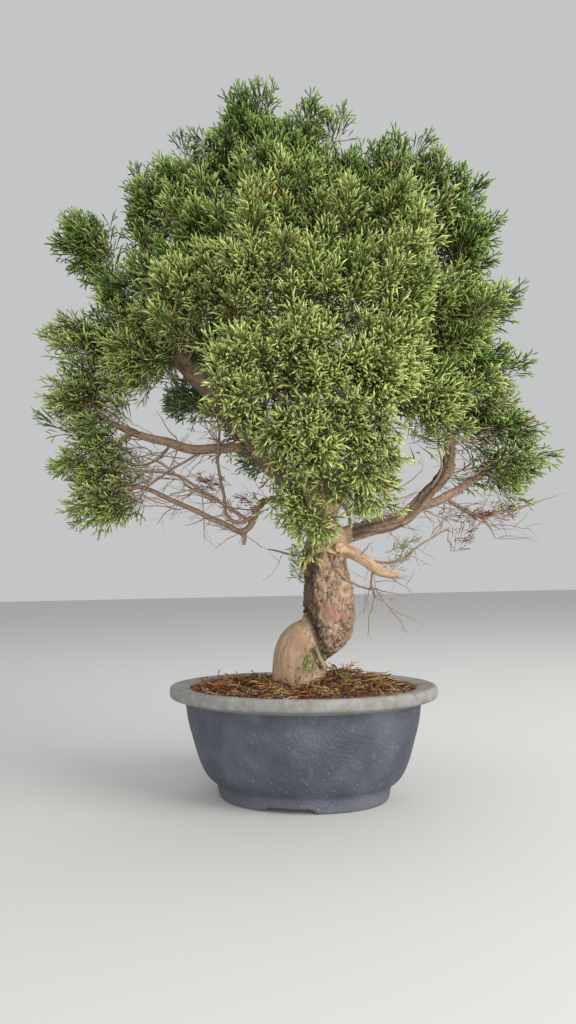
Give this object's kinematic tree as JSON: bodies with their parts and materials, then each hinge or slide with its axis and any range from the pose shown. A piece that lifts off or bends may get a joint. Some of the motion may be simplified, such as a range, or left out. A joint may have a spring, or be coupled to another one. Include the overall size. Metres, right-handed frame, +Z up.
{
  "type": "kishu juniper bonsai",
  "caption": "Broom-canopied juniper bonsai with a kneed trunk, a cut jin stub and dense forked foliage, in an oval footed stoneware pot",
  "frame": {"origin": "middle of the bottom of the box round the whole tree, on the ground", "axes": "+Z up the tree, -Y towards the viewer of the tree's front, +X to the viewer's right"},
  "size_m": [0.4824, 0.3826, 0.6719],
  "materials": {
    "stoneware": "unglazed slate-blue stoneware, matt, leathery, with pale mineral marks",
    "mesh": "black moulded mesh",
    "soil": "moist bonsai soil with dead foliage litter, moss and grit",
    "bark": "living juniper bark, smooth and pinkish low down, flaking above, grey-white where dead",
    "foliage": "scale foliage on forked shoots, dark green above, olive and yellow-green in front"
  },
  "bodies": {
    "root": {"drain_mesh_left": "mesh", "drain_mesh_right": "mesh", "pot": "stoneware", "soil": "soil", "spray_back_1": "foliage", "spray_back_2": "foliage", "spray_back_3": "foliage", "spray_back_4": "foliage", "spray_back_5": "foliage", "spray_back_6": "foliage", "spray_back_7": "foliage", "spray_crown_1": "foliage", "spray_crown_2": "foliage", "spray_crown_3": "foliage", "spray_crown_4": "foliage", "spray_crown_5": "foliage", "spray_crown_6": "foliage", "spray_crown_7": "foliage", "spray_crown_8": "foliage", "spray_front_1": "foliage", "spray_front_2": "foliage", "spray_front_3": "foliage", "spray_front_4": "foliage", "spray_front_5": "foliage", "spray_front_6": "foliage", "spray_front_7": "foliage", "spray_front_8": "foliage", "spray_front_9": "foliage", "spray_leader_1": "foliage", "spray_leader_2": "foliage", "spray_leader_3": "foliage", "spray_left_1": "foliage", "spray_left_2": "foliage", "spray_left_3": "foliage", "spray_left_4": "foliage", "spray_left_5": "foliage", "spray_left_6": "foliage", "spray_left_7": "foliage", "spray_left_8": "foliage", "spray_right_1": "foliage", "spray_right_2": "foliage", "spray_right_3": "foliage", "spray_right_4": "foliage", "spray_right_5": "foliage", "spray_right_6": "foliage", "spray_right_7": "foliage", "spray_right_8": "foliage", "spray_skirt_1": "foliage", "spray_skirt_2": "foliage", "spray_skirt_3": "foliage", "spray_skirt_4": "foliage", "spray_skirt_5": "foliage", "spray_skirt_6": "foliage", "spray_skirt_7": "foliage", "spray_skirt_8": "foliage", "trunk": "bark"}
  },
  "joints": []
}
